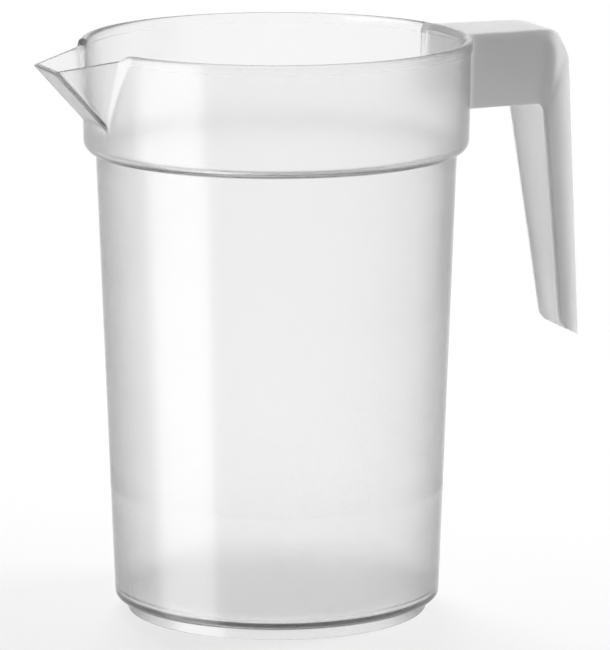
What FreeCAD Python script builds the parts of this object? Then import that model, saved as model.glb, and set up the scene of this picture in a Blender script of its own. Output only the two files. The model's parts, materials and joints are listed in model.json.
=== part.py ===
import FreeCAD, Part
import math
import os

from FreeCAD import Vector

# A stacking carafe, a jug moulded in one piece: a tapered body on a foot ring, a wider
# collar with a rolled rim, a three-sided pouring spout and a hooked handle that
# is an open channel. Millimetres. It stands on z = 0 with its axis on +Z, the
# handle points along +X and the spout along -X.

# --- Driving dimensions -------------------------------------------------------

HEIGHT = 192.5             # foot to the top of the rim
RIM_RADIUS = 65.0          # outside of the rim, the widest circle
WALL = 1.8                 # body, collar and spout
FLOOR = 1.9

FOOT_HEIGHT = 4.3          # foot ring under the floor
FOOT_INSET = 3.6           # body corner to foot ring
FOOT_WALL = 1.8
FOOT_DRAFT = 0.5           # foot ring is this much wider at its top
FOOT_CORNER = 1.0          # rounding between the ring's inside and the floor
BODY_BOTTOM_RADIUS = 54.5  # outside of the body above the foot
COLLAR_HEIGHT = 37.3       # underside of the collar to the top of the rim
COLLAR_STEP = 4.0          # collar stands out this far from the body
COLLAR_SETBACK = 1.0       # collar bottom is this much narrower than the rim
COLLAR_ROUNDING = 0.97     # share of the step that the rounding under it takes
LEDGE_ROUNDING = 0.55      # the same on the ledge inside

RIM_HEIGHT = 3.7           # rolled edge, measured down from its top
RIM_THICKNESS = 2.5
RIM_CREST = 1.2            # rounding of its upper edge
RIM_LIP = 0.5              # rim stands out this far from the collar below it

BODY_CORNER = 1.5          # outside rounding above the foot
FLOOR_CORNER = 2.6         # inside rounding round the floor
MARK_HEIGHT = 42.0         # low ring moulded round the body
MARK_WIDTH = 0.9
MARK_RELIEF = 0.15

SPOUT_REACH = 16.4         # lip beyond the rim
SPOUT_LIP_DROP = 6.0       # lip below the top of the rim
SPOUT_ROOT_DROP = 1.8      # spout edge below the rim, where it leaves the collar
SPOUT_DEPTH = 26.2         # foot of the spout below the top of the rim
SPOUT_NOSE = 20.8          # width of the front face
SPOUT_SPREAD = 23.0        # degrees each side wall opens out in plan
SPOUT_NOSE_ROUND = 2.4     # between the front face and the side walls
SPOUT_ROOT_ROUND = 5.0     # hollow fillet between spout and collar
SPOUT_INNER_ROUND = 3.4    # the same corner from inside

ARM_DROP = 0.2             # top of the arm below the top of the rim
ARM_DEPTH = 24.8           # side walls of the arm
HANDLE_REACH = 38.3        # rim to the outside of the grip, at the height of the arm's top
GRIP_LENGTH = 107.3        # top of the arm to the lowest point of the grip
GRIP_LEAN = 3.3            # degrees the grip stands out from vertical
GRIP_DEPTH = 14.1          # side walls of the grip, level with the arm's underside
GRIP_TAPER = 3.8           # degrees its free edges close in on its back
GRIP_END_RISE = 5.0        # end of the grip slopes up towards the body
HANDLE_WALL = 2.2
BEND_RADIUS = 12.0         # outside of the bend
BEND_INNER = 3.0           # inside corner of the bend

ARM_WIDTH_ROOT = 34.9
ARM_WIDTH = 31.2           # at the bend
GRIP_WIDTH_END = 18.5
ARM_EDGE = 3.4             # rounding along the arm's top edges
GRIP_EDGE = 0.86           # grip edges are rounded over this share of half its width
ROOT_FLARE = 2.0           # arm widens by this much on each side at the collar
FREE_EDGE = 1.0            # outside rounding along the free edges
GRIP_END_ROUND = 2.4       # corner where the free edges meet the grip's end
EDGE_BREAK = 0.45          # small rounding on the foot's edges
LEAST_ROUND = 0.8          # roundings inside the walls are no smaller than this

# --- Worked out from the driving dimensions -----------------------------------

FLOOR_TOP = FOOT_HEIGHT + FLOOR
COLLAR_BOTTOM = HEIGHT - COLLAR_HEIGHT
RIM_BOTTOM = HEIGHT - RIM_HEIGHT
COLLAR_TOP_RADIUS = RIM_RADIUS - RIM_LIP
COLLAR_BOTTOM_RADIUS = RIM_RADIUS - COLLAR_SETBACK
BODY_TOP_RADIUS = COLLAR_BOTTOM_RADIUS - COLLAR_STEP
FOOT_RADIUS = BODY_BOTTOM_RADIUS - FOOT_INSET - FOOT_DRAFT
FAR_ABOVE = HEIGHT + 40.0  # cutters end well above the rim
BEND_STATIONS = 6          # sections round the bend
GRIP_STATIONS = 4          # sections down the grip
CORNER_POINTS = 7          # points that shape each rounded edge of a section
OVERRUN = 2.0              # cutters run this far past what they cut
TOUCHING = 0.02            # points closer than this to a surface lie on it


# --- Outlines -----------------------------------------------------------------

def rounded_outline(corners):
    """Closed wire in the XZ plane through (x, z, rounding) corners."""
    points = [Vector(x, 0, z) for x, z, _ in corners]
    count = len(corners)
    starts, ends, arcs = [], [], []
    for i, (_, _, rounding) in enumerate(corners):
        here = points[i]
        back = (points[i - 1] - here).normalize()
        ahead = (points[(i + 1) % count] - here).normalize()
        if rounding <= 0:
            starts.append(here)
            ends.append(here)
            arcs.append(None)
            continue
        half = back.getAngle(ahead) / 2
        run = rounding / math.tan(half)
        bisector = (back + ahead).normalize()
        centre = here + bisector * (rounding / math.sin(half))
        first, last = here + back * run, here + ahead * run
        starts.append(first)
        ends.append(last)
        arcs.append(Part.Arc(first, centre - bisector * rounding, last).toShape())
    edges = []
    for i in range(count):
        if arcs[i] is not None:
            edges.append(arcs[i])
        edges.append(Part.makeLine(ends[i], starts[(i + 1) % count]))
    return Part.Wire(edges)


def turned(corners):
    """Solid of revolution about +Z from (radius, z, rounding) corners."""
    face = Part.Face(rounded_outline(corners))
    return face.revolve(Vector(0, 0, 0), Vector(0, 0, 1), 360)


def closed(points):
    """Closed wire with straight sides."""
    return Part.makePolygon(points + points[:1])


# --- Vessel -------------------------------------------------------------------

def collar_radius(z):
    """Outside of the collar below the rim, at height z."""
    share = (z - COLLAR_BOTTOM) / (RIM_BOTTOM - COLLAR_BOTTOM)
    return COLLAR_BOTTOM_RADIUS + share * (COLLAR_TOP_RADIUS - COLLAR_BOTTOM_RADIUS)


def body_radius(z):
    """Outside of the body at height z."""
    share = (z - FOOT_HEIGHT) / (COLLAR_BOTTOM - FOOT_HEIGHT)
    return BODY_BOTTOM_RADIUS + share * (BODY_TOP_RADIUS - BODY_BOTTOM_RADIUS)


def vessel_outside():
    """Everything inside the outer surface, with the collar run on upwards."""
    return turned([
        (0, 0, 0),
        (FOOT_RADIUS, 0, EDGE_BREAK),
        (FOOT_RADIUS + FOOT_DRAFT, FOOT_HEIGHT, EDGE_BREAK),
        (BODY_BOTTOM_RADIUS, FOOT_HEIGHT, BODY_CORNER),
        (BODY_TOP_RADIUS, COLLAR_BOTTOM, 0),
        (COLLAR_BOTTOM_RADIUS, COLLAR_BOTTOM, COLLAR_ROUNDING * COLLAR_STEP),
        (collar_radius(FAR_ABOVE), FAR_ABOVE, 0),
        (0, FAR_ABOVE, 0),
    ])


def vessel_inside():
    """The room inside, run on upwards past the rim."""
    ledge = COLLAR_BOTTOM + WALL
    return turned([
        (0, FLOOR_TOP, 0),
        (body_radius(FLOOR_TOP) - WALL, FLOOR_TOP, FLOOR_CORNER),
        (body_radius(ledge) - WALL, ledge, LEAST_ROUND),
        (collar_radius(ledge) - WALL, ledge, LEDGE_ROUNDING * COLLAR_STEP),
        (collar_radius(FAR_ABOVE) - WALL, FAR_ABOVE, 0),
        (0, FAR_ABOVE, 0),
    ])


def rolled_rim():
    """Thicker edge round the mouth, crest and inner edge rounded."""
    inner = RIM_RADIUS - RIM_THICKNESS
    return turned([
        (inner, RIM_BOTTOM, 0),
        (RIM_RADIUS, RIM_BOTTOM, 0),
        (RIM_RADIUS, HEIGHT, RIM_CREST),
        (inner, HEIGHT, RIM_CREST),
    ])


def foot_hollow():
    """Recess under the floor, inside the foot ring."""
    radius = FOOT_RADIUS - FOOT_WALL
    return turned([
        (0, -OVERRUN, 0),
        (radius, -OVERRUN, 0),
        (radius - FOOT_DRAFT, FOOT_HEIGHT, FOOT_CORNER),
        (0, FOOT_HEIGHT, 0),
    ])


def mark_ring():
    """Low ring round the body."""
    low, high = MARK_HEIGHT - MARK_WIDTH / 2, MARK_HEIGHT + MARK_WIDTH / 2
    return turned([
        (body_radius(low) - WALL / 2, low, 0),
        (body_radius(low), low, 0),
        (body_radius(MARK_HEIGHT) + MARK_RELIEF, MARK_HEIGHT, MARK_WIDTH / 2),
        (body_radius(high), high, 0),
        (body_radius(high) - WALL / 2, high, 0),
    ])


# --- Spout --------------------------------------------------------------------

def spout_wedge(inset):
    """Three-sided wedge: a leaning front face between two side walls.

    Its faces lie inset behind the spout's outer faces."""
    foot_z = HEIGHT - SPOUT_DEPTH
    lip_z = HEIGHT - SPOUT_LIP_DROP
    foot_u = math.sqrt(collar_radius(foot_z) ** 2 - (SPOUT_NOSE / 2) ** 2)
    lean = (RIM_RADIUS + SPOUT_REACH - foot_u) / (lip_z - foot_z)
    spread = math.tan(math.radians(SPOUT_SPREAD))
    front_inset = inset * math.hypot(1, lean)
    side_inset = inset * math.sqrt(1 + spread ** 2 + (spread * lean) ** 2)
    nose = SPOUT_NOSE / 2 - side_inset + spread * front_inset

    def level(z):
        front = foot_u + lean * (z - foot_z) - front_inset
        back = nose + spread * front
        return [Vector(-front, -nose, z), Vector(-front, nose, z),
                Vector(0, back, z), Vector(0, -back, z)]

    low = foot_z - foot_u / (2 * lean)
    wedge = Part.makeLoft([closed(level(low)), closed(level(FAR_ABOVE))], True, True)
    nose_edges = []
    for edge in wedge.Edges:
        ends = [v.Point for v in edge.Vertexes]
        if all(p.x < -TOUCHING for p in ends) and abs(ends[0].z - ends[1].z) > TOUCHING:
            nose_edges.append(edge)
    rounding = max(SPOUT_NOSE_ROUND - inset, LEAST_ROUND)
    return wedge.makeFillet(rounding, nose_edges)


def with_spout(vessel, inset, rounding):
    """The vessel joined to a spout wedge, with a hollow fillet along the root."""
    joined = vessel.fuse(spout_wedge(inset)).removeSplitter()
    root = []
    for edge in joined.Edges:
        box = edge.BoundBox
        low_down = box.ZMax < HEIGHT - 1.5 * SPOUT_DEPTH
        if low_down or box.ZMin > HEIGHT or box.YLength > RIM_RADIUS:
            continue
        middle = edge.valueAt((edge.FirstParameter + edge.LastParameter) / 2)
        off_collar = math.hypot(middle.x, middle.y) - (collar_radius(middle.z) - inset)
        if abs(off_collar) < TOUCHING and middle.x < 0:
            root.append(edge)
    return joined.makeFillet(rounding, root)


def spout_half_width():
    """Half the width of the gap that the spout leaves in the rim."""
    foot_z = HEIGHT - SPOUT_DEPTH
    lip_z = HEIGHT - SPOUT_LIP_DROP
    rise = (HEIGHT - foot_z) / (lip_z - foot_z) * SPOUT_REACH
    return SPOUT_NOSE / 2 + rise * math.tan(math.radians(SPOUT_SPREAD)) + 0.5 * SPOUT_ROOT_ROUND


def spout_sector(z_root, z_lip):
    """Block over the spout; its underside slopes from z_root down to z_lip."""
    near, far = 0.5 * RIM_RADIUS, RIM_RADIUS + 2 * SPOUT_REACH
    half = spout_half_width()
    root_u = math.sqrt(RIM_RADIUS ** 2 - half ** 2)
    slope = (z_root - z_lip) / (RIM_RADIUS + SPOUT_REACH - root_u)

    def underside(u):
        return z_root - slope * (u - root_u)

    top = FAR_ABOVE + OVERRUN
    outline = [Vector(-near, 0, underside(near)), Vector(-far, 0, underside(far)),
               Vector(-far, 0, top), Vector(-near, 0, top)]
    block = Part.Face(closed(outline)).extrude(Vector(0, 2 * half, 0))
    block.translate(Vector(0, -half, 0))
    return block


# --- Handle -------------------------------------------------------------------

def leaning_bend(top_x, top_z, radius, lean):
    """Arc from a level line at top_z into a line leaning out by lean.

    The leaning line would meet the level one at top_x. Returns the arc's centre
    and the angle it turns through."""
    centre = Vector(top_x + radius * math.tan(lean) - radius / math.cos(lean), 0,
                    top_z - radius)
    return centre, math.pi / 2 - lean


def on_arc(centre, radius, angle):
    """Point on an arc, the angle taken from straight up towards +X."""
    return centre + Vector(radius * math.sin(angle), 0, radius * math.cos(angle))


def handle_stations():
    """Places along arm, bend and grip, from inside the collar wall to the grip's end.

    Each is (outer point, inner point, width, edge rounding) with the points in
    the XZ plane: the outer point on the back, the inner one on the free edges of
    the side walls."""
    arm_top = HEIGHT - ARM_DROP
    arm_low = arm_top - ARM_DEPTH
    lean = math.radians(GRIP_LEAN)
    inner_lean = math.radians(GRIP_LEAN + GRIP_TAPER)
    outer_x = RIM_RADIUS + HANDLE_REACH
    inner_x = outer_x + ARM_DEPTH * math.tan(lean) - GRIP_DEPTH
    outer_centre, outer_turn = leaning_bend(outer_x, arm_top, BEND_RADIUS, lean)
    inner_centre, inner_turn = leaning_bend(inner_x, arm_low, BEND_INNER, inner_lean)

    collar = RIM_RADIUS - COLLAR_SETBACK
    places = [collar + ROOT_FLARE * share for share in (0.0, 0.15, 0.45, 1.0)]
    arm = []
    for x in [collar - WALL] + places + [(collar + outer_centre.x) / 2]:
        share = (x - collar) / (outer_centre.x - collar)
        width = ARM_WIDTH_ROOT + share * (ARM_WIDTH - ARM_WIDTH_ROOT)
        to_flare_end = min(max(collar + ROOT_FLARE - x, 0.0), ROOT_FLARE)
        flare = ROOT_FLARE - math.sqrt(ROOT_FLARE ** 2 - to_flare_end ** 2)
        low_x = collar + share * (inner_centre.x - collar)
        arm.append((Vector(x, 0, arm_top), Vector(low_x, 0, arm_low),
                    width + 2 * flare, ARM_EDGE))

    bend = []
    for i in range(BEND_STATIONS + 1):
        along = i / BEND_STATIONS
        bend.append((on_arc(outer_centre, BEND_RADIUS, outer_turn * along),
                     on_arc(inner_centre, BEND_INNER, inner_turn * along),
                     ARM_WIDTH, ARM_EDGE + along * (GRIP_EDGE * ARM_WIDTH / 2 - ARM_EDGE)))
    arm.append(bend[0])

    end_z = arm_top - GRIP_LENGTH
    end_outer = Vector(outer_x + GRIP_LENGTH * math.tan(lean), 0, end_z)
    end_inner = Vector(inner_x + (arm_low - end_z - GRIP_END_RISE) * math.tan(inner_lean),
                       0, end_z + GRIP_END_RISE)
    top_outer, top_inner = bend[-1][0], bend[-1][1]
    grip = []
    for i in range(GRIP_STATIONS + 1):
        share = i / GRIP_STATIONS
        width = ARM_WIDTH + share * (GRIP_WIDTH_END - ARM_WIDTH)
        grip.append((top_outer + (end_outer - top_outer) * share,
                     top_inner + (end_inner - top_inner) * share,
                     width, GRIP_EDGE * width / 2))
    return arm, bend, grip


def channel_section(outer, inner, width, edge, inset):
    """Closed outline of the handle at one station, its free edges at inner.

    With an inset it is the outline of the hollow, which runs out past the free edges."""
    depth_line = outer - inner
    depth = depth_line.Length
    out = depth_line.normalize()
    side = Vector(0, 1, 0)
    half = width / 2 - inset
    high = depth - inset
    low = -min(OVERRUN, 0.7 * BEND_INNER) if inset > 0 else 0.0
    corner_w = max(edge - inset, LEAST_ROUND)
    corner_d = max(min(edge, 0.8 * depth) - inset, LEAST_ROUND)

    def at(s, d):
        return inner + side * s + out * d

    def corner(sign):
        centre = at(sign * (half - corner_w), high - corner_d)
        points = []
        for k in range(CORNER_POINTS):
            t = math.pi / 2 * k / (CORNER_POINTS - 1)
            points.append(centre + side * (sign * corner_w * math.cos(t))
                          + out * (corner_d * math.sin(t)))
        curve = Part.BSplineCurve()
        first = out * corner_d
        last = side * (-sign * corner_w)
        curve.interpolate(Points=points, InitialTangent=first, FinalTangent=last)
        return points, curve

    def free_edge(sign):
        ends = at(sign * (half - FREE_EDGE), low), at(sign * half, low + FREE_EDGE)
        reach = FREE_EDGE * (1 - math.sqrt(0.5))
        return ends, Part.Arc(ends[0], at(sign * (half - reach), low + reach), ends[1]).toShape()

    right_points, right_curve = corner(1)
    left_points, left_curve = corner(-1)
    left_curve.reverse()
    if inset > 0:
        right_low, left_low = [at(half, low)] * 2, [at(-half, low)] * 2
        breaks = []
    else:
        right_low, right_arc = free_edge(1)
        left_low, left_arc = free_edge(-1)
        breaks = [right_arc, left_arc]
    edges = [
        Part.makeLine(left_low[0], right_low[0]),
        *breaks[:1],
        Part.makeLine(right_low[1], right_points[0]),
        right_curve.toShape(),
        Part.makeLine(right_points[-1], left_points[-1]),
        left_curve.toShape(),
        Part.makeLine(left_points[0], left_low[1]),
        *breaks[1:],
    ]
    return Part.Wire(edges)


def swept(stations, inset):
    """Solid through the stations: straight along arm and grip, smooth round the bend."""
    arm, bend, grip = stations
    pieces = []
    for run, straight in ((arm, True), (bend, False), (grip, True)):
        sections = [channel_section(*station, inset) for station in run]
        pieces.append(Part.makeLoft(sections, True, straight))
    return pieces[0].fuse(pieces[1:]).removeSplitter()


def carried_on(grip, share):
    """The grip's stations and one more past its end."""
    before, last = grip[-2], grip[-1]
    return grip + [tuple(b + (b - a) * share for a, b in zip(before, last))]


def corner_cutter(corner, toward_a, toward_b, rounding, width):
    """What a rounding takes off a corner that runs along Y: a prism with a hollow side."""
    ahead, back = (toward_a - corner).normalize(), (toward_b - corner).normalize()
    half = ahead.getAngle(back) / 2
    bisector = (ahead + back).normalize()
    run = rounding / math.tan(half)
    first, last = corner + ahead * run, corner + back * run
    nearest = corner + bisector * (rounding / math.sin(half) - rounding)
    outside = corner - bisector * OVERRUN
    outline = Part.Wire([Part.Arc(first, nearest, last).toShape(),
                         Part.makeLine(last, outside), Part.makeLine(outside, first)])
    prism = Part.Face(outline).extrude(Vector(0, width, 0))
    return prism.translated(Vector(0, -width / 2, 0))


def handle():
    """Hooked channel, open towards the body and at its lower end."""
    arm, bend, grip = handle_stations()
    room = swept((arm, bend, carried_on(grip, 0.2)), HANDLE_WALL)
    end_outer, end_inner = grip[-1][:2]
    corner = corner_cutter(end_inner, grip[0][1], end_outer, GRIP_END_ROUND, ARM_WIDTH)
    return swept((arm, bend, grip), 0.0).cut(room).cut(corner)


# --- The carafe ---------------------------------------------------------------

def carafe():
    outside = with_spout(vessel_outside(), 0.0, SPOUT_ROOT_ROUND)
    inside = with_spout(vessel_inside(), WALL, SPOUT_INNER_ROUND)
    shell = outside.cut(inside).cut(foot_hollow())
    top = RIM_RADIUS + 4 * SPOUT_REACH
    above = Part.makeBox(2 * top, 2 * top, FAR_ABOVE, Vector(-top, -top, HEIGHT - RIM_CREST))
    lip = spout_sector(HEIGHT - SPOUT_ROOT_DROP, HEIGHT - SPOUT_LIP_DROP)
    shell = shell.cut(above).cut(lip)
    rim = rolled_rim().cut(spout_sector(0, 0))
    grip = handle().cut(vessel_inside()).cut(above.translated(Vector(0, 0, RIM_CREST)))
    whole = shell.fuse([rim, mark_ring(), grip]).removeSplitter()
    return whole


def export(shape, node):
    os.makedirs("parts", exist_ok=True)
    if len(shape.Solids) != 1 or not shape.isValid():
        print(node, "solids", len(shape.Solids), "valid", shape.isValid())
    shape.Solids[0].exportStep(os.path.join("parts", node + ".step"))


export(carafe(), "carafe")
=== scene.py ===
# %% [markdown]
# # A milky plastic carafe
# This lesson dresses a stacking carafe, moulded in one shot from translucent
# polypropylene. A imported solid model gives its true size. Here it gets a finer
# surface, a finish that light passes through, a floor, lamps and a camera.
# Lengths are in metres, +Z is up, the handle points along +X and the spout
# along -X.

# %% Load the solid model
import json
import math

import bpy
import numpy as np
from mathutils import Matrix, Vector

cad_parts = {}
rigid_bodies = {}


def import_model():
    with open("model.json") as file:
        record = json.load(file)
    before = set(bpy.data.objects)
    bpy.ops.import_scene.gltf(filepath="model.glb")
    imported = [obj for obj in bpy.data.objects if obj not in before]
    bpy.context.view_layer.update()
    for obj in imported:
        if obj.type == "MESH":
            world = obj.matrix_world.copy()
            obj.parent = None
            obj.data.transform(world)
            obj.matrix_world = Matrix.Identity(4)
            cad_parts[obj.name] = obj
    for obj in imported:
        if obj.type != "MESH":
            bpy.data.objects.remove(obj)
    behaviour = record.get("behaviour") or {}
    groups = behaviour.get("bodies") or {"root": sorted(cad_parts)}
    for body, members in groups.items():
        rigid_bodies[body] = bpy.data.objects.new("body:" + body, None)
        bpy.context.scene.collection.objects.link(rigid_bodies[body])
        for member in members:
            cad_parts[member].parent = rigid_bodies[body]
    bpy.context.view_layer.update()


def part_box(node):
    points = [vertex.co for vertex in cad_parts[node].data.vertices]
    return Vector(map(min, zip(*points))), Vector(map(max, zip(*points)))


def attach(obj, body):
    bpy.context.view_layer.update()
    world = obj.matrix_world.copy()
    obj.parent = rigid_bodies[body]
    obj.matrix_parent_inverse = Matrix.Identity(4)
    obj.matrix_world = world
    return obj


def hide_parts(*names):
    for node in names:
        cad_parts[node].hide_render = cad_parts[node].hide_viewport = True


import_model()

# %% [markdown]
# ## Sizes
# The height, the widest circle and the reach of spout and handle are read from
# the solid model, so the finer surface can't outgrow it. The rest are the sizes
# a moulder would draw: walls near 2 mm, a foot ring, a collar that stands out
# from the body so that carafes stack, and a rolled rim.

# %% Sizes of the vessel
MM = 0.001
box_low, box_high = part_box("carafe")
HEIGHT = box_high.z
RIM_RADIUS = box_high.y
LIP_REACH = -box_low.x          # from the axis to the tip of the spout
HANDLE_OUT = box_high.x         # from the axis to the lowest point of the grip

WALL = 1.8 * MM
FLOOR_UNDER = 4.3 * MM          # underside of the floor, which is as high as the foot ring
FLOOR_TOP = 6.2 * MM
FOOT_OUTSIDE = 50.4 * MM
FOOT_WALL = 1.8 * MM
FOOT_DRAFT = 0.5 * MM
BODY_BOTTOM_RADIUS = 54.5 * MM
COLLAR_FLARE = 1.0 * MM         # how far the collar and rim widen towards the top
COLLAR_BOTTOM = HEIGHT - 37.3 * MM
COLLAR_BOTTOM_RADIUS = RIM_RADIUS - COLLAR_FLARE
COLLAR_STEP = 4.0 * MM
BODY_TOP_RADIUS = COLLAR_BOTTOM_RADIUS - COLLAR_STEP
RIM_HEIGHT = 3.7 * MM
RIM_LIP = 0.5 * MM              # how far the rim stands out from the collar
RIM_THICKNESS = 2.5 * MM
RIM_CREST = 1.2 * MM            # rounding of the rim's top edges
print("height", round(HEIGHT / MM, 1), "mm, rim", round(2 * RIM_RADIUS / MM, 1), "mm across")

# %% [markdown]
# ## Turned outlines
# Most of the vessel is a body of revolution. Its outline is a short list of
# corners, each with the rounding the mould gives it. The corners become points:
# an arc for each rounding and evenly spaced points along what is straight. A
# Bevel modifier could round the corners too, but here each has its own radius.

# %% Outlines with rounded corners
ARC_POINTS = 7


def rounded(corners, step):
    """Points along an open outline of (radius, height, rounding) corners.

    A rounding is the arc that touches both straight sides: its centre lies
    rounding / sin(half the corner's angle) from the corner, on the line that
    halves the angle. Straight stretches are cut into equal parts no longer
    than step."""
    points = [np.array(corners[0][:2])]
    for before, here, after in zip(corners, corners[1:], corners[2:]):
        corner, rounding = np.array(here[:2]), here[2]
        if rounding <= 0:
            points.append(corner)
            continue
        back = np.array(before[:2]) - corner
        ahead = np.array(after[:2]) - corner
        back, ahead = back / np.linalg.norm(back), ahead / np.linalg.norm(ahead)
        half = math.acos(float(np.clip(back @ ahead, -1, 1))) / 2
        bisector = (back + ahead) / np.linalg.norm(back + ahead)
        centre = corner + bisector * rounding / math.sin(half)
        sweep = np.linspace(-1, 1, ARC_POINTS)[:, None] * (math.pi / 2 - half)
        side = np.array([-bisector[1], bisector[0]])
        side = side if side @ ahead > 0 else -side
        points.extend(centre + rounding * (side * np.sin(sweep) - bisector * np.cos(sweep)))
    points.append(np.array(corners[-1][:2]))
    filled = [points[0]]
    for a, b in zip(points, points[1:]):
        parts = max(math.ceil(np.linalg.norm(b - a) / step), 1)
        filled.extend(np.linspace(a, b, parts + 1)[1:])
    return np.array(filled)


# %% [markdown]
# A moulding tapers so that it leaves the mould. Body and collar are each a
# straight line between two radii, so the radius is one number plus a share of
# the height.

# %% Tapers of body and collar


def collar_radius(z):
    """Outside of the collar: a straight taper from its bottom to just under the rim."""
    share = np.minimum((z - COLLAR_BOTTOM) / (HEIGHT - RIM_HEIGHT - COLLAR_BOTTOM), 1.0)
    return COLLAR_BOTTOM_RADIUS + share * (COLLAR_FLARE - RIM_LIP)


def body_radius(z):
    """Outside of the body: a straight taper from the foot to the collar."""
    share = (z - FLOOR_UNDER) / (COLLAR_BOTTOM - FLOOR_UNDER)
    return BODY_BOTTOM_RADIUS + share * (BODY_TOP_RADIUS - BODY_BOTTOM_RADIUS)


print("body", round(2 * body_radius(FLOOR_UNDER) / MM, 1), "mm across at the foot and",
      round(2 * body_radius(COLLAR_BOTTOM) / MM, 1), "mm under the collar")

# %% [markdown]
# The outside runs from the middle of the underside over the foot ring and up the
# body, past a fine raised ring, to the collar. A carafe rests on the collar's
# step when it is stacked, and the step is rounded almost over its whole width.

# %% Outside of foot and body
OUTLINE_STEP = 9 * MM
MARK_HEIGHT = 42.0 * MM         # thin ring round the body
MARK_WIDTH = 0.9 * MM
MARK_RELIEF = 0.08 * MM
MARK_ROUND = 0.6 * MM
UNDER_FOOT_ROUND, FOOT_INNER_ROUND, FOOT_OUTER_ROUND = 1.0 * MM, 0.3 * MM, 0.45 * MM
BODY_FOOT_ROUND = 1.5 * MM
UNDER_ROUNDING = 0.97 * COLLAR_STEP
foot_inside = FOOT_OUTSIDE - FOOT_WALL
mark_low, mark_high = MARK_HEIGHT - MARK_WIDTH, MARK_HEIGHT + MARK_WIDTH
outside_end = COLLAR_BOTTOM + 1.3 * UNDER_ROUNDING
outside_low = rounded([
    (0.0, FLOOR_UNDER, 0),
    (foot_inside - FOOT_DRAFT, FLOOR_UNDER, UNDER_FOOT_ROUND),
    (foot_inside, 0.0, FOOT_INNER_ROUND),
    (FOOT_OUTSIDE, 0.0, FOOT_OUTER_ROUND),
    (FOOT_OUTSIDE + FOOT_DRAFT, FLOOR_UNDER, FOOT_OUTER_ROUND),
    (BODY_BOTTOM_RADIUS, FLOOR_UNDER, BODY_FOOT_ROUND),
    (body_radius(mark_low), mark_low, 0),
    (body_radius(MARK_HEIGHT) + MARK_RELIEF, MARK_HEIGHT, MARK_ROUND),
    (body_radius(mark_high), mark_high, 0),
    (BODY_TOP_RADIUS, COLLAR_BOTTOM, 0),
    (COLLAR_BOTTOM_RADIUS, COLLAR_BOTTOM, UNDER_ROUNDING),
    (collar_radius(outside_end), outside_end, 0),
], step=OUTLINE_STEP)
print("outline points outside", len(outside_low))

# %% [markdown]
# The inside follows the outside one wall's thickness further in. Its corners are
# rounder than a plain offset would make them, because molten plastic flows and
# cools better round a soft corner.

# %% Inside of body and floor
LEDGE_OUTER_ROUND = 0.55 * COLLAR_STEP
LEDGE_INNER_ROUND = 0.8 * MM
FLOOR_CORNER_ROUND = 2.6 * MM
ledge = COLLAR_BOTTOM + WALL    # the step seen from inside
inside_end = ledge + 3.6 * MM
inside_low = rounded([
    (collar_radius(inside_end) - WALL, inside_end, 0),
    (collar_radius(ledge) - WALL, ledge, LEDGE_OUTER_ROUND),
    (body_radius(ledge) - WALL, ledge, LEDGE_INNER_ROUND),
    (body_radius(FLOOR_TOP) - WALL, FLOOR_TOP, FLOOR_CORNER_ROUND),
    (0.0, FLOOR_TOP, 0),
], step=OUTLINE_STEP)
print("outline points inside", len(inside_low))

# %% [markdown]
# ## The spout
# The spout is a three-sided wedge that grows out of the collar: a leaning front
# face between two side walls that spread towards the body. Seen from the axis
# every direction meets the wall once, so wall and spout can be one function:
# the distance from the axis at an angle and a height. A smooth maximum of collar
# and wedge gives the hollow fillet along the root. A boolean of two solids would
# leave a seam there.

# %% Radius of the spout
SPOUT_FOOT = HEIGHT - 26.2 * MM     # where the front face meets the collar
SPOUT_LIP = HEIGHT - 6.0 * MM       # height of the tip
SPOUT_NOSE = 20.8 * MM              # width of the front face
SPOUT_SPREAD = math.tan(math.radians(23.0))
NOSE_ROUND = 1.1 * MM
LEAST_FORWARD = 0.05                # keeps the division finite beside and behind the axis
foot_forward = math.sqrt(collar_radius(SPOUT_FOOT) ** 2 - (SPOUT_NOSE / 2) ** 2)
SPOUT_LEAN = (LIP_REACH - foot_forward) / (SPOUT_LIP - SPOUT_FOOT)


def smooth_max(a, b, width):
    """Larger of two values. Within width of each other the corner is filled by a parabola."""
    near = np.clip(width - np.abs(a - b), 0, None)
    return np.maximum(a, b) + near ** 2 / (4 * width)


def wedge_radius(angle, z, inset):
    """Distance from the axis to the wedge at an angle from -X and a height.

    The front face is a plane x = -front(z). The side faces are the planes
    |y| = nose + spread * (front(z) - forward distance). The nearer of the two
    counts, with the edge between them rounded."""
    front_inset = inset * math.hypot(1, SPOUT_LEAN)
    side_inset = inset * math.sqrt(1 + SPOUT_SPREAD ** 2 + (SPOUT_SPREAD * SPOUT_LEAN) ** 2)
    front = foot_forward + SPOUT_LEAN * (z - SPOUT_FOOT)
    nose = SPOUT_NOSE / 2 - side_inset
    forward = np.clip(np.cos(angle), LEAST_FORWARD, None)
    to_front = (front - front_inset) / forward
    to_side = (nose + SPOUT_SPREAD * front) / (np.abs(np.sin(angle)) + SPOUT_SPREAD * forward)
    return -smooth_max(-to_front, -to_side, NOSE_ROUND)


print("the spout reaches", round((LIP_REACH - RIM_RADIUS) / MM, 1), "mm past the rim")

# %% [markdown]
# The fillet grows with the height: tight where the nose starts, wide at the
# mouth. The hollow side uses the same function with an inset, so the wall keeps
# one thickness round the spout.

# %% Radius of collar and spout together
FILLET_LOW, FILLET_GROWTH = 1.6 * MM, 3.4 * MM
FILLET_INSET = 0.35                 # how much tighter the fillet is for each metre of inset
SPOUT_SIDE = math.radians(60)       # no wedge further round than this


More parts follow.
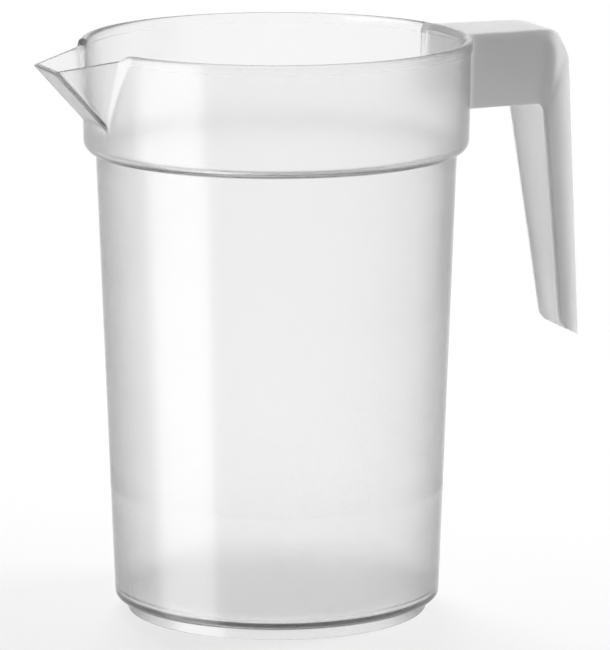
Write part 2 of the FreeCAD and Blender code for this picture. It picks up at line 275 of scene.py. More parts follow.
def wall_radius(angle, z, inset):
    """Distance from the axis to the collar and spout, a wall's inset behind the outside.

    It is the smooth maximum of the collar's radius and the wedge's, and the
    width of the smoothing grows evenly from the spout's foot to the mouth."""
    rise = np.clip((z - SPOUT_FOOT) / (HEIGHT - SPOUT_FOOT), 0, 1)
    fillet = FILLET_LOW + FILLET_GROWTH * rise - FILLET_INSET * inset
    behind = np.abs(angle) > SPOUT_SIDE
    wedge = np.where(behind, 0.0, wedge_radius(angle, z, inset))
    return smooth_max(collar_radius(z) - inset, wedge, fillet)


print("under the lip the nose stands", round(float(wall_radius(0.0, SPOUT_LIP, 0.0)) / MM, 1),
      "mm from the axis")

# %% [markdown]
# ## The mouth
# Round most of the mouth the edge is a rolled rim. At the spout it gives way,
# over a few millimetres, to a plain rounded edge that slopes down to the tip.
# Both edges have the same number of points, each a share of the way from the
# outer to the inner face and a drop below the top, so one fades into the other.

# %% Two edges for the mouth
RIM_SHOULDER = RIM_HEIGHT - 0.1 * MM    # underside of the rim, almost level
RIM_OUT, RIM_IN = -RIM_LIP, RIM_THICKNESS - RIM_LIP
PLAIN_ROUND = 0.5 * MM
PLAIN_START = 1.6 * MM                  # drop at which the plain edge's straight sides end


def quarter(centre, size, start):
    """Quarter circle as (across, drop) points, starting at an angle in degrees."""
    turn = np.radians(start + np.linspace(0, 90, 5))
    return np.stack([centre[0] - size * np.cos(turn), centre[1] - size * np.sin(turn)], 1)


rim_edge = np.concatenate([
    [(0, RIM_HEIGHT), (RIM_OUT, RIM_SHOULDER)],
    quarter((RIM_OUT + RIM_CREST, RIM_CREST), RIM_CREST, 0),
    quarter((RIM_IN - RIM_CREST, RIM_CREST), RIM_CREST, 90),
    [(RIM_IN, RIM_SHOULDER), (WALL, RIM_HEIGHT)],
])
plain_edge = np.concatenate([
    [(0, RIM_HEIGHT), (0, PLAIN_START)],
    quarter((PLAIN_ROUND, PLAIN_ROUND), PLAIN_ROUND, 0),
    quarter((WALL - PLAIN_ROUND, PLAIN_ROUND), PLAIN_ROUND, 90),
    [(WALL, PLAIN_START), (WALL, RIM_HEIGHT)],
])
print("each edge has", len(rim_edge), "points")

# %% [markdown]
# The top of the spout is a plane that starts a little below the rim and slopes
# to the tip. Where the mouth's edge lies depends on its height and the other way
# round, so both are worked out in a few rounds until they agree.

# %% Fade between the edges
ROOT_DROP = 1.8 * MM                # how far below the rim the spout's edge starts
ROOT_HALF = 21.9 * MM               # half the spout's width at the collar
ROUNDS = 8
LEVEL_BEHIND = -2 * MM              # behind this the sloping plane stays level
RAMP = (math.radians(17.4), math.radians(21.2))   # angles between which the rim takes over
root_forward = math.sqrt(RIM_RADIUS ** 2 - ROOT_HALF ** 2)
LIP_SLOPE = (SPOUT_LIP - (HEIGHT - ROOT_DROP)) / (LIP_REACH - root_forward)


def fade(angle):
    """0 at the spout and 1 round the rest, with a smooth step between."""
    share = np.clip((np.abs(angle) - RAMP[0]) / (RAMP[1] - RAMP[0]), 0, 1)
    return share ** 2 * (3 - 2 * share)


def mouth_rows(angle, across, drop):
    """Radius and height of points on the mouth's edge.

    across is measured from the outer face through the wall, so the radius is
    the outer one plus a share of the way to the inner one. The top is the rim's
    height, or at the spout a plane that slopes down with the forward distance."""
    z = np.full(np.broadcast(angle, across, drop).shape, HEIGHT)
    for _ in range(ROUNDS):
        outer, inner = wall_radius(angle, z, 0.0), wall_radius(angle, z, WALL)
        radius = outer + across / WALL * (inner - outer)
        forward = radius * np.cos(angle)
        plane = HEIGHT - ROOT_DROP + LIP_SLOPE * np.clip(forward - root_forward, LEVEL_BEHIND, None)
        top = plane + fade(angle) * (HEIGHT - plane)
        z = top - drop
    return radius, z


print("the spout's edge slopes", round(math.degrees(math.atan(-LIP_SLOPE)), 1), "degrees")

# %% [markdown]
# ## Columns round the axis
# The vessel's grid has a column for each angle round the axis. The spout has
# fine edges and fillets, so half of the columns stand close together there and
# the plain rest makes do with the other half.

# %% Angles of the columns
DENSE = math.radians(26)            # half the angle with close columns
CLOSE_COLUMNS, OTHER_COLUMNS = 241, 250
angles = np.concatenate([np.linspace(-DENSE, DENSE, CLOSE_COLUMNS),
                         np.linspace(DENSE, 2 * math.pi - DENSE, OTHER_COLUMNS)[1:-1]])
angles = np.where(angles > math.pi, angles - 2 * math.pi, angles)[None, :]
print(angles.size, "columns round the vessel")

# %% [markdown]
# ## One skin for the vessel
# The rows run from the middle of the underside, out over the foot, up the
# outside, over the rim and down the inside to the middle of the floor. Every
# row goes once round the axis. Two single points close the skin.

# %% Rows of the vessel
WALL_ROWS = 30


def vessel_rows():
    """Radius and height of every row: fixed circles below, functions of the angle above.

    Between the outline's end and the mouth's edge the height goes up in equal
    shares of what is left, so the top rows follow the sloping edge."""
    weight = fade(angles)
    across = weight * rim_edge[:, :1] + (1 - weight) * plain_edge[:, :1]
    drop = weight * rim_edge[:, 1:] + (1 - weight) * plain_edge[:, 1:]
    edge_r, edge_z = mouth_rows(angles, across, drop)
    share = np.linspace(0, 1, WALL_ROWS + 1)[1:, None]
    low = outside_low[-1, 1]
    rise_z = low + (edge_z[:1] - low) * share[:-1]
    rise_r = wall_radius(angles, rise_z, 0.0)
    low = inside_low[0, 1]
    fall_z = low + (edge_z[-1:] - low) * share[::-1][1:]
    fall_r = wall_radius(angles, fall_z, WALL)
    ring = np.ones_like(angles)
    outside, inside = outside_low[1:, :, None] * ring, inside_low[:-1, :, None] * ring
    radius = np.concatenate([outside[:, 0], rise_r, edge_r, fall_r, inside[:, 0]])
    height = np.concatenate([outside[:, 1], rise_z, edge_z, fall_z, inside[:, 1]])
    return radius, height


vessel_radius, vessel_height = vessel_rows()
print(len(vessel_radius), "rows from the underside over the rim to the floor")

# %% [markdown]
# A grid becomes a mesh by joining each point to its neighbours. The last column
# joins the first, which closes the ring without a seam. The faces are smooth
# shaded, and only edges that turn sharply stay sharp.

# %% From a grid to a mesh
SHARP = math.radians(35)


def ring_quads(rows, columns):
    """Quads between rows of a grid that closes on itself from the last column to the first."""
    index = np.arange(rows * columns).reshape(rows, columns)
    ahead = np.roll(index, -1, axis=1)
    return np.stack([index[:-1], ahead[:-1], ahead[1:], index[1:]], -1).reshape(-1, 4), index


def add_mesh(name, points, quads, triangles=()):
    """Smooth object from whole arrays, with edges sharper than SHARP kept sharp."""
    mesh = bpy.data.meshes.new(name)
    faces = np.asarray(quads).tolist() + np.asarray(triangles).tolist()
    mesh.from_pydata(points.tolist(), [], faces)
    mesh.polygons.foreach_set("use_smooth", np.ones(len(faces), bool))
    mesh.set_sharp_from_angle(angle=SHARP)
    mesh.update()
    piece = bpy.data.objects.new(name, mesh)
    bpy.context.scene.collection.objects.link(piece)
    print(name, len(points), "points", len(quads) * 2 + len(triangles), "triangles")
    return piece


def make_vessel(radius, height):
    """The vessel's skin, with x = -r cos(angle) and y = -r sin(angle), and a fan at each end."""
    x, y = -radius * np.cos(angles), -radius * np.sin(angles)
    grid = np.stack([x, y, height], -1).reshape(-1, 3)
    quads, index = ring_quads(*radius.shape)
    under, top = len(grid), len(grid) + 1
    points = np.concatenate([grid, [[0, 0, FLOOR_UNDER]], [[0, 0, FLOOR_TOP]]])
    first, last = index[0], index[-1]
    fans = [np.stack([np.full_like(first, under), np.roll(first, -1), first], 1),
            np.stack([np.full_like(last, top), last, np.roll(last, -1)], 1)]
    return add_mesh("vessel", points, quads, np.concatenate(fans))


vessel = make_vessel(vessel_radius, vessel_height)

# %% [markdown]
# ## The handle
# The handle is a channel: a back and two side walls. The arm leaves the collar
# with its open side down, bends over and becomes the grip, whose open side faces
# the body. Its path is two lines, one along the back and one along the free
# edges, and the section between them is the same U with changing sizes. Carrying
# a section along a path is what a curve with a bevel does, but there the section
# can't change its form on the way.

# %% Sizes of the handle
ARM_DEPTH = 24.8 * MM
ARM_TOP = HEIGHT - 0.2 * MM
ARM_LOW = ARM_TOP - ARM_DEPTH
GRIP_LENGTH = 107.3 * MM
GRIP_DEPTH = 14.1 * MM
LEAN = math.radians(3.3)                # of the grip's back
INNER_LEAN = math.radians(3.3 + 3.8)    # of its free edges
END_RISE = 5.0 * MM                     # how much higher the free edges end than the back
BEND, BEND_INNER = 12.0 * MM, 3.0 * MM
ARM_WIDTH_ROOT, ARM_WIDTH, GRIP_WIDTH_END = 34.9 * MM, 31.2 * MM, 18.5 * MM
ARM_EDGE = 3.4 * MM                     # rounding along the arm's top
GRIP_EDGE = 0.86                        # rounding along the grip's back, of half its width
ROUND_SHARE = 0.8                       # and of its depth
OPENING_END = 0.7                       # share of the bend over which the rounding opens up
back_x = HANDLE_OUT - GRIP_LENGTH * math.tan(LEAN)
front_x = back_x + ARM_DEPTH * math.tan(LEAN) - GRIP_DEPTH


def bend_centre(corner_x, top_z, radius, lean):
    """Centre of the arc from a level line at top_z into a line that leans out from corner_x."""
    return np.array([corner_x + radius * math.tan(lean) - radius / math.cos(lean), top_z - radius])


back_centre = bend_centre(back_x, ARM_TOP, BEND, LEAN)
front_centre = bend_centre(front_x, ARM_LOW, BEND_INNER, INNER_LEAN)
print("the arm is", round((back_centre[0] - COLLAR_BOTTOM_RADIUS) / MM, 1), "mm long on top")

# %% [markdown]
# Each stretch of the path gives the same five rows: the back line, the free-edge
# line, the width, the edge rounding and how far that rounding has opened. The
# arm is straight and starts a little inside the collar. In the bend both lines
# turn on their own arcs by the same share.

# %% Arm and bend
SUNK = -0.02                # share of the arm that lies inside the collar
BEND_STATIONS = 18


def along_line(start, end, share):
    """Points that lie the given shares of the way from start to end."""
    start, end = np.asarray(start), np.asarray(end)
    return start + (end - start) * share[:, None]


def arm_rows():
    """Two level lines from the collar to their bends, with close stations in the first tenth."""
    share = np.concatenate([[SUNK], np.linspace(0, 0.1, 7), np.linspace(0.1, 1, 12)[1:]])
    back = along_line((COLLAR_BOTTOM_RADIUS, ARM_TOP), (back_centre[0], ARM_TOP), share)
    front = along_line((COLLAR_BOTTOM_RADIUS, ARM_LOW), (front_centre[0], ARM_LOW), share)
    width = ARM_WIDTH_ROOT + share * (ARM_WIDTH - ARM_WIDTH_ROOT)
    return back, front, width, np.full_like(share, ARM_EDGE), np.zeros_like(share)


def bend_rows():
    """Two arcs, each turned by a share of a quarter turn less its line's lean.

    The rounding opens up by a smooth step, 3 t squared less 2 t cubed."""
    share = np.linspace(0, 1, BEND_STATIONS + 1)[1:]
    turn = share * (math.pi / 2 - LEAN)
    back = back_centre + BEND * np.stack([np.sin(turn), np.cos(turn)], 1)
    turn = share * (math.pi / 2 - INNER_LEAN)
    front = front_centre + BEND_INNER * np.stack([np.sin(turn), np.cos(turn)], 1)
    opening = np.clip(share / OPENING_END, 0, 1)
    opening = opening ** 2 * (3 - 2 * opening)
    edge = ARM_EDGE + opening * (GRIP_EDGE * ARM_WIDTH / 2 - ARM_EDGE)
    return back, front, np.full_like(share, ARM_WIDTH), edge, opening


print("stations on arm and bend", len(arm_rows()[0]), "and", len(bend_rows()[0]))

# %% [markdown]
# The grip runs straight down, leans out and closes in on both lines. It is cut
# off at a slant, so its free edges end a little higher than its back. The
# stations stand closer near the end, where the corners are rounded.

# %% Grip and whole path
NEAR_END = 0.96             # from this share of the grip the stations stand closer


def grip_rows(back_start, front_start):
    """Two straight lines from the ends of the bend's arcs to the slanted end."""
    share = np.concatenate([np.linspace(0, NEAR_END, 30)[1:], np.linspace(NEAR_END, 1, 11)[1:]])
    end_z = ARM_TOP - GRIP_LENGTH
    back_end = (back_x + GRIP_LENGTH * math.tan(LEAN), end_z)
    front_z = end_z + END_RISE
    front_end = (front_x + (ARM_LOW - front_z) * math.tan(INNER_LEAN), front_z)
    back = along_line(back_start, back_end, share)
    front = along_line(front_start, front_end, share)
    width = ARM_WIDTH + share * (GRIP_WIDTH_END - ARM_WIDTH)
    return back, front, width, GRIP_EDGE * width / 2, np.ones_like(share)


def handle_path():
    """The five rows along the whole handle, and how many stations are on the arm.

    The last row becomes the rounding's share of the section's depth, which
    goes from the arm's share to the grip's as the rounding opens."""
    arm, bend = arm_rows(), bend_rows()
    grip = grip_rows(bend[0][-1], bend[1][-1])
    back, front, width, edge, opening = [np.concatenate(rows) for rows in zip(arm, bend, grip)]
    arm_share = ARM_EDGE / ARM_DEPTH
    return back, front, width, edge, opening * (ROUND_SHARE - arm_share) + arm_share, len(arm[0])


print("stations on the whole handle", len(handle_path()[0]))

# %% [markdown]
# The section is drawn as two matching rows of points, the outside and the hollow,
# both from one free edge over the back to the other. Each side wall runs
# straight and turns into the back round a quarter ellipse. Joining the rows at
# the free edges makes a closed U.

# %% Section of the handle
HANDLE_WALL = 2.2 * MM
FREE_EDGE = 0.9 * MM        # rounding of the free edges
HOLLOW_ROUND = 0.8 * MM     # least rounding in the hollow
SIDE_POINTS = np.array([0.25, 0.5, 0.75])


def half_section(sizes, wall, free):
    """One side of the U as (across, deep) points: free edge, side wall, quarter ellipse, back.

    sizes are half the width, the depth, the rounding's width, its share of the
    depth and the height at which the side wall starts. wall is how far the line
    lies behind the outside, and free the rounding of the free edge."""
    half, depth, edge, deep_share, low = [row[:, None] for row in sizes]
    wide = np.maximum(edge - wall, HOLLOW_ROUND)
    tall = np.maximum(deep_share * depth - wall, HOLLOW_ROUND)
    side_end = depth - wall - tall
    tip, turn = np.linspace(0, math.pi / 2, 5), np.linspace(0, math.pi / 2, 13)
    across = np.concatenate([
        half - wall - free * (1 - np.sin(tip)),
        half - wall + 0 * SIDE_POINTS,
        half - wall - wide * (1 - np.cos(turn)),
        (half - wall - wide) / 2], 1)
    deep = np.concatenate([
        low + free * (1 - np.cos(tip)),
        low + free + (side_end - low - free) * SIDE_POINTS,
        side_end + tall * np.sin(turn),
        depth - wall], 1)
    return across, deep


def whole_section(sizes, wall, free):
    """Both sides of the U, from the right free edge over the back to the left one."""
    across, deep = half_section(sizes, wall, free)
    return np.concatenate([across, -across[:, ::-1]], 1), np.concatenate([deep, deep[:, ::-1]], 1)


print("the handle's walls are", round(HANDLE_WALL / MM, 1), "mm thick")

# %% [markdown]
# The section is set on the path at each station. At the collar the arm flares
# out by a small round fillet, and its first points are pushed to where the
# collar's curved face is, so that both pieces meet without a gap.

# %% Skin of the handle
ROOT_FLARE = 2.0 * MM
END_ROUND = 2.4 * MM        # rounding of the side walls at the grip's end


def root_flare(back, arm_count):
    """How much wider each side is at the root: a quarter circle that ends ROOT_FLARE away."""
    on_arm = np.arange(len(back)) < arm_count
    from_wall = np.where(on_arm, back[:, 0] - COLLAR_BOTTOM_RADIUS, 1.0)
    left = np.clip(ROOT_FLARE - np.maximum(from_wall, 0), 0, None)
    return ROOT_FLARE - np.sqrt(ROOT_FLARE ** 2 - left ** 2)


def end_rounding(front):
    """Height at which the side walls start: 0, and near the end a quarter circle upwards."""
    to_end = np.linalg.norm(front - front[-1], axis=1)
    inside = np.clip(END_ROUND - to_end, 0, END_ROUND)
    return END_ROUND - np.sqrt(END_ROUND ** 2 - inside ** 2)


def handle_grid():
    """x, across and z with a row for each station: free-edge line plus deep times the line back.

    On the arm x is stretched, so that it starts on the collar's face, whose
    distance is the root of radius squared less across squared."""
    back, front, width, edge, deep_share, arm_count = handle_path()
    line = back - front
    depth = np.linalg.norm(line, axis=1)
    line = line / depth[:, None]
    half = width / 2 + root_flare(back, arm_count)
    sizes = (half, depth, edge, deep_share, end_rounding(front))
    outer = whole_section(sizes, 0.0, FREE_EDGE)
    hollow = whole_section(sizes, HANDLE_WALL, 0.0)
    across = np.concatenate([outer[0], hollow[0][:, ::-1]], 1)
    deep = np.concatenate([outer[1], hollow[1][:, ::-1]], 1)
    x = front[:, :1] + line[:, :1] * deep
    z = front[:, 1:] + line[:, 1:] * deep
    arm, bend_start = slice(0, arm_count), x[arm_count - 1]
    share = (x[arm] - COLLAR_BOTTOM_RADIUS) / (bend_start - COLLAR_BOTTOM_RADIUS)
    face = np.sqrt(collar_radius(z[arm]) ** 2 - across[arm] ** 2)
    x[arm] = face + share * (bend_start - face)
    return x, across, z


def make_handle():
    """The grid as a closed skin, with caps of quads between outside and hollow at both ends."""
    x, across, z = handle_grid()
    quads, index = ring_quads(*x.shape)
    first, last = index[0], index[-1]
    half_count = x.shape[1] // 2
    a, b = np.arange(half_count - 1), np.arange(1, half_count)
    caps = [np.stack([first[b], first[a], first[::-1][a], first[::-1][b]], 1),
            np.stack([last[a], last[b], last[::-1][b], last[::-1][a]], 1)]
    points = np.stack([x, across, z], -1).reshape(-1, 3)
    return add_mesh("handle", points, np.concatenate([quads, *caps]))


handle = make_handle()

# %% [markdown]
# ## Both pieces on the body
# The real carafe is one moulding and nothing on it moves. Vessel and handle ride
# on its one body and take the place of the plain solid.

# %% Put both pieces on the body
for piece in (vessel, handle):
    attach(piece, "root")
    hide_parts("carafe")
print("pieces on the body:", vessel.name, "and", handle.name)

# %% [markdown]
# ## Finish
# Polypropylene is milky because its crystals scatter light, and a smooth mould
# leaves it with a soft gloss. Materials are built from nodes. Two small
# functions are enough for that: one turns a written colour into the linear
# values that a shader works with, the other adds a node with its links.

# %% Colours and nodes
SRGB_KNEE = 0.04045         # below this sRGB is a straight line


def linear(hex_colour):
    """sRGB hex to linear RGBA by the standard curve."""
    channels = [int(hex_colour[i:i + 2], 16) / 255 for i in (1, 3, 5)]
    return [c / 12.92 if c <= SRGB_KNEE else ((c + 0.055) / 1.055) ** 2.4 for c in channels] + [1.0]


def add_node(tree, kind, settings=None, inputs=None):
    """Adds a node, sets its properties and fills its sockets with values or links."""
    node = tree.nodes.new(kind)
    for key, value in (settings or {}).items():
        setattr(node, key, value)
    for key, value in (inputs or {}).items():
        if isinstance(value, bpy.types.NodeSocket):
            tree.links.new(value, node.inputs[key])
        else:
            node.inputs[key].default_value = value
    return node


def new_material(name):
    """A material with an empty node tree, and that tree."""
    material = bpy.data.materials.new(name)
    material.use_nodes = True
    material.node_tree.nodes.clear()
    return material, material.node_tree


WHITE = (1.0, 1.0, 1.0, 1.0)
print("mid grey #808080 is", round(linear("#808080")[0], 3), "in linear light")

# %% [markdown]
# No moulding is quite even: plastic that cooled faster is a little clearer. A
# noise with patches a few millimetres to centimetres wide moves both colour and
# roughness within a narrow range. It reads the object's own coordinates, so it
# stays on the surface from every side.

# %% Clouds of haze
CLOUD_DETAIL = 3.0
CLOUD_RANGE = (0.3, 0.7)    # values between which nearly all of the noise lies


def add_clouds(tree, size, colours, roughness):
    """Sockets with a tint between two colours and a roughness between two values.

    Both are straight functions of one noise, whose patches are about size wide."""
    place = add_node(tree, "ShaderNodeTexCoord")
    cloud = add_node(tree, "ShaderNodeTexNoise", inputs={
        "Vector": place.outputs["Object"], "Scale": 1 / size, "Detail": CLOUD_DETAIL})
    tint = add_node(tree, "ShaderNodeMix", {"data_type": "RGBA"}, {
        0: cloud.outputs["Fac"], 6: linear(colours[0]), 7: linear(colours[1])})
    haze = add_node(tree, "ShaderNodeMapRange", inputs={
        "Value": cloud.outputs["Fac"], "From Min": CLOUD_RANGE[0], "From Max": CLOUD_RANGE[1],
        "To Min": roughness[0], "To Max": roughness[1]})
    return tint.outputs[2], haze.outputs[0]


print("noise from", CLOUD_RANGE[0], "to", CLOUD_RANGE[1], "covers the whole range of haze")

# %% [markdown]
# The vessel's wall is thin, so most light gets through it, blurred. Roughness on
# the transmission gives the blur. The polished mould leaves a smoother skin than
# the cloudy plastic beneath it, and a coat shows that: lights are mirrored with
# a crisp edge. A little absorption makes long ways through the plastic grey, as
# along the rim and the foot.

# %% Thin wall
PLASTIC_IOR = 1.49          # typical of polypropylene
THIN_CLOUD = 25 * MM
THIN_TINT = ("#FBFBFB", "#FDFDFD")
THIN_ROUGHNESS = (0.225, 0.255)
SKIN_WEIGHT, SKIN_ROUGHNESS = 0.45, 0.05
ABSORPTION = 5.0            # for each metre, with a mid grey


def body_polypropylene():
    """Thin moulded wall: light passes a little blurred, and clouds of haze make the blur uneven."""
    material, tree = new_material("polypropylene moulded thin")
    tint, haze = add_clouds(tree, THIN_CLOUD, THIN_TINT, THIN_ROUGHNESS)
    shader = add_node(tree, "ShaderNodeBsdfPrincipled", inputs={
        "Base Color": tint, "Roughness": haze, "IOR": PLASTIC_IOR, "Transmission Weight": 1.0,
        "Coat Weight": SKIN_WEIGHT, "Coat Roughness": SKIN_ROUGHNESS, "Coat IOR": PLASTIC_IOR})
    depth = add_node(tree, "ShaderNodeVolumeAbsorption", inputs={
        "Color": (0.5, 0.5, 0.5, 1.0), "Density": ABSORPTION})
    add_node(tree, "ShaderNodeOutputMaterial", inputs={
        "Surface": shader.outputs["BSDF"], "Volume": depth.outputs["Volume"]})
    return material


vessel.data.materials.append(body_polypropylene())
print("vessel:", vessel.data.materials[0].name)

# %% [markdown]
# The handle is thicker, and a hand holds it where two walls and a back lie close
# together. Light that enters is scattered many times before it leaves, so the
# plastic looks white instead of clear. Subsurface scattering over a few
# millimetres gives that soft glow, and lets little show through.

# %% Thick wall
THICK_CLOUD = 8 * MM
THICK_TINT = ("#E8E8E8", "#ECECEC")
THICK_ROUGHNESS = (0.20, 0.26)
THICK_CLEAR = 0.1           # share of the light that passes straight through
SCATTER = 5 * MM


def handle_polypropylene():
    """Thick moulded wall: light that enters is scattered, so it glows instead of showing through."""
    material, tree = new_material("polypropylene moulded thick")
    tint, haze = add_clouds(tree, THICK_CLOUD, THICK_TINT, THICK_ROUGHNESS)
    shader = add_node(tree, "ShaderNodeBsdfPrincipled", inputs={
        "Base Color": tint, "Roughness": haze, "IOR": PLASTIC_IOR,
        "Transmission Weight": THICK_CLEAR, "Subsurface Weight": 1.0,
        "Subsurface Radius": (1.0, 1.0, 1.0), "Subsurface Scale": SCATTER})
    add_node(tree, "ShaderNodeOutputMaterial", inputs={"Surface": shader.outputs["BSDF"]})
    return material


handle.data.materials.append(handle_polypropylene())
print("handle:", handle.data.materials[0].name)

# %% [markdown]
# ## Floor
# A carafe is shown on a white board that runs far back. To the eye, and through
# the clear plastic, the board is white, with a quarter of plain lit board near
# the carafe so that its shadow shows. Mirrored light sees the room below the
# board instead, so that upright walls mirror the panels down to the foot.

# %% Floor
FLOOR_HALF = 4.0
SHADOW_NEAR, SHADOW_FAR = 0.1, 0.5      # distances between which the board turns all white
WHITE_NEAR = 0.75                       # share of white next to the carafe


def eye_or_plastic(tree):
    """Two sockets: 1 where the eye looks, straight or through clear plastic, and 1 where gloss does."""
    path = add_node(tree, "ShaderNodeLightPath")
    seen = add_node(tree, "ShaderNodeMath", {"operation": "MAXIMUM"},
                    {0: path.outputs["Is Camera Ray"], 1: path.outputs["Is Transmission Ray"]})
    return seen.outputs[0], path.outputs["Is Glossy Ray"]


def add_floor():
    """Square floor: board and plain white, mixed by a share that grows with the distance."""
    mesh = bpy.data.meshes.new("floor")
    h = FLOOR_HALF
    mesh.from_pydata([(-h, -h, 0), (h, -h, 0), (h, h, 0), (-h, h, 0)], [], [(0, 1, 2, 3)])
    floor = bpy.data.objects.new("floor", mesh)
    bpy.context.scene.collection.objects.link(floor)
    floor.visible_glossy = False
    material, tree = new_material("white studio board")
    place = add_node(tree, "ShaderNodeTexCoord")
    away = add_node(tree, "ShaderNodeVectorMath", {"operation": "LENGTH"},
                    {0: place.outputs["Object"]})
    whiteness = add_node(tree, "ShaderNodeMapRange", inputs={
        "Value": away.outputs["Value"], "From Min": SHADOW_NEAR, "From Max": SHADOW_FAR,
        "To Min": WHITE_NEAR, "To Max": 1.0})
    seen, _ = eye_or_plastic(tree)
    share = add_node(tree, "ShaderNodeMath", {"operation": "MULTIPLY"},
                     {0: seen, 1: whiteness.outputs[0]})
    board = add_node(tree, "ShaderNodeBsdfDiffuse", inputs={"Color": linear("#F2F2F2")})
    white = add_node(tree, "ShaderNodeEmission", inputs={"Color": WHITE, "Strength": 1.0})
    mix = add_node(tree, "ShaderNodeMixShader", inputs={
        0: share.outputs[0], 1: board.outputs[0], 2: white.outputs[0]})
    add_node(tree, "ShaderNodeOutputMaterial", inputs={"Surface": mix.outputs[0]})
    mesh.materials.append(material)
    return floor


floor = add_floor()
print("floor", round(2 * FLOOR_HALF, 1), "m wide")

# %% [markdown]
# ## Backdrop and room
# The backdrop is plain white to the eye and through clear plastic. What the
# gloss mirrors is the room round the carafe: a bright tall panel on one side
# gives the long highlight, and dimmer ones give the walls their grey edges. The
# panels are a colour ramp round the horizon, so no object has to be built for
# them. All other light from the room is faint, and the lamps do that work.

# %% World
ROOM_LIGHT = 0.05
PANEL_WHITE = 3.6
CEILING = 0.8
CEILING_FROM, CEILING_TO = 0.4, 0.8     # heights of a direction, 1 being straight up
PANELS = [      # azimuth in degrees from -Y towards +X, and brightness
    (-180, 0.55), (-118, 0.55), (-104, 3.4), (-68, 3.6), (-64, 0.7), (20, 0.7),
    (60, 0.55), (134, 0.55), (150, 1.0), (167, 1.0), (178, 0.55)]


def add_panels(tree, part):
    """Ring of panels as a shader: the azimuth, the arctangent of x over -y, picks the brightness."""
    back = add_node(tree, "ShaderNodeMath", {"operation": "MULTIPLY"},
                    {0: part.outputs["Y"], 1: -1.0})
    azimuth = add_node(tree, "ShaderNodeMath", {"operation": "ARCTAN2"},
                       {0: part.outputs["X"], 1: back.outputs[0]})
    turn = add_node(tree, "ShaderNodeMapRange", inputs={
        "Value": azimuth.outputs[0], "From Min": -math.pi, "From Max": math.pi})
    ring = add_node(tree, "ShaderNodeValToRGB", inputs={"Fac": turn.outputs[0]})
    stops = ring.color_ramp.elements
    while len(stops) < len(PANELS):
        stops.new(0.5)
    for stop, (degrees, level) in zip(stops, PANELS):
        stop.position = (degrees + 180) / 360
        stop.color = (level / PANEL_WHITE, level / PANEL_WHITE, level / PANEL_WHITE, 1)
    return add_node(tree, "ShaderNodeBackground", inputs={
        "Color": ring.outputs["Color"], "Strength": PANEL_WHITE})


def make_world():
    """White to the eye and through clear plastic, panels for gloss, and faint for all other light.

    A ceiling takes over from the panels as a direction points higher."""
    world = bpy.data.worlds.new("studio")
    bpy.context.scene.world = world
    world.use_nodes = True
    tree = world.node_tree
    tree.nodes.clear()
    place = add_node(tree, "ShaderNodeTexCoord")
    part = add_node(tree, "ShaderNodeSeparateXYZ", inputs={0: place.outputs["Generated"]})
    panels = add_panels(tree, part)
    up = add_node(tree, "ShaderNodeMapRange", {"interpolation_type": "SMOOTHSTEP"}, {
        "Value": part.outputs["Z"], "From Min": CEILING_FROM, "From Max": CEILING_TO})
    ceiling = add_node(tree, "ShaderNodeBackground", inputs={"Color": WHITE, "Strength": CEILING})
    room = add_node(tree, "ShaderNodeMixShader", inputs={
        0: up.outputs[0], 1: panels.outputs[0], 2: ceiling.outputs[0]})
    seen, mirrored = eye_or_plastic(tree)
    even = add_node(tree, "ShaderNodeBackground", inputs={"Color": WHITE, "Strength": ROOM_LIGHT})
    room = add_node(tree, "ShaderNodeMixShader", inputs={
        0: mirrored, 1: even.outputs[0], 2: room.outputs[0]})
    white = add_node(tree, "ShaderNodeBackground", inputs={"Color": WHITE, "Strength": 1.0})
    mix = add_node(tree, "ShaderNodeMixShader", inputs={
        0: seen, 1: room.outputs[0], 2: white.outputs[0]})
    add_node(tree, "ShaderNodeOutputWorld", inputs={"Surface": mix.outputs[0]})


make_world()
print(len(PANELS), "stops round the horizon")

# %% [markdown]
# ## Lamps
# Two large soft lamps light the white handle and the board: one on the right,
# beside the grip, and one behind. They are broad, so shadows have soft edges.
# Gloss and clear plastic don't see them, because they see the panels.

# %% Lamps
AIM_HEIGHT = 0.1            # half the carafe's height
LAMP_DISTANCE, LAMP_HEIGHT = 0.9, 0.5


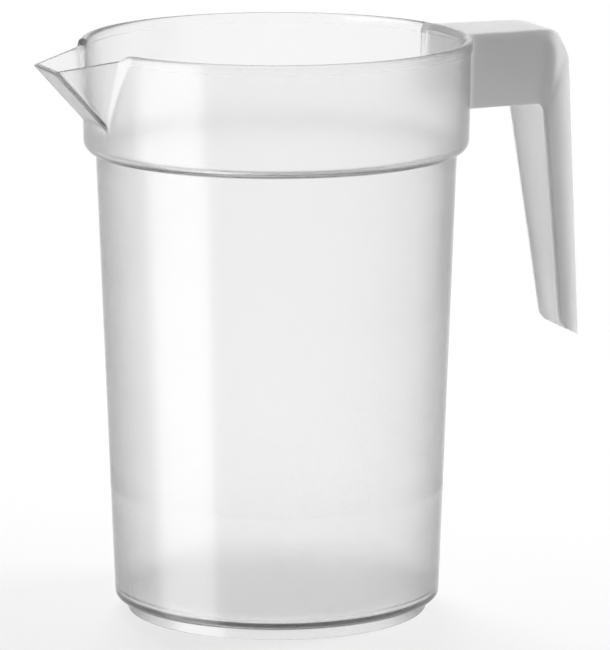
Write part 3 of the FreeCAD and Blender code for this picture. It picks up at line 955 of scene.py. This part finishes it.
def add_softbox(name, azimuth, size, power):
    """Square lamp at (d sin a, -d cos a) for azimuth a and distance d, aimed at the middle."""
    data = bpy.data.lights.new(name, "AREA")
    data.shape = "SQUARE"
    data.size = size
    data.energy = power
    lamp = bpy.data.objects.new(name, data)
    turn = math.radians(azimuth)
    lamp.location = (LAMP_DISTANCE * math.sin(turn), -LAMP_DISTANCE * math.cos(turn), LAMP_HEIGHT)
    aim = math.atan2(LAMP_HEIGHT - AIM_HEIGHT, LAMP_DISTANCE)
    lamp.rotation_euler = (math.pi / 2 - aim, 0.0, turn)
    lamp.visible_glossy = False
    lamp.visible_transmission = False
    bpy.context.scene.collection.objects.link(lamp)
    print(name, "at", azimuth, "degrees,", power, "W")
    return lamp


add_softbox("softbox right", azimuth=83, size=0.5, power=7)
add_softbox("softbox behind", azimuth=170, size=0.6, power=13)

# %% [markdown]
# ## Camera
# A long lens from far away keeps the carafe's sides nearly straight. The camera
# stands at an azimuth round the carafe's axis and looks a little downwards.

# %% Camera
CAMERA_AZIMUTH = math.radians(21.5)    # from -Y towards -X
CAMERA_DISTANCE = 1.664                # from the axis, along the floor
CAMERA_HEIGHT = 0.4238
CAMERA_PITCH = 0.1947                  # radians below the horizon
CAMERA_YAW = 0.0057                    # radians to the right of the axis
LENS, FRAME_WIDTH = 280.9, 36.0        # mm
FARTHEST = 20.0


def add_camera():
    """Camera at its azimuth, aimed past the axis by a small yaw and downwards by its pitch."""
    data = bpy.data.cameras.new("camera")
    data.lens = LENS
    data.sensor_width = FRAME_WIDTH
    data.clip_end = FARTHEST
    data.dof.use_dof = False
    camera = bpy.data.objects.new("camera", data)
    camera.location = (-CAMERA_DISTANCE * math.sin(CAMERA_AZIMUTH),
                       -CAMERA_DISTANCE * math.cos(CAMERA_AZIMUTH), CAMERA_HEIGHT)
    camera.rotation_euler = (math.pi / 2 - CAMERA_PITCH, 0.0, -(CAMERA_AZIMUTH + CAMERA_YAW))
    bpy.context.scene.collection.objects.link(camera)
    bpy.context.scene.camera = camera
    return camera


camera = add_camera()
bpy.context.scene.view_settings.view_transform = "Standard"
print("camera at", [round(v, 3) for v in camera.location])
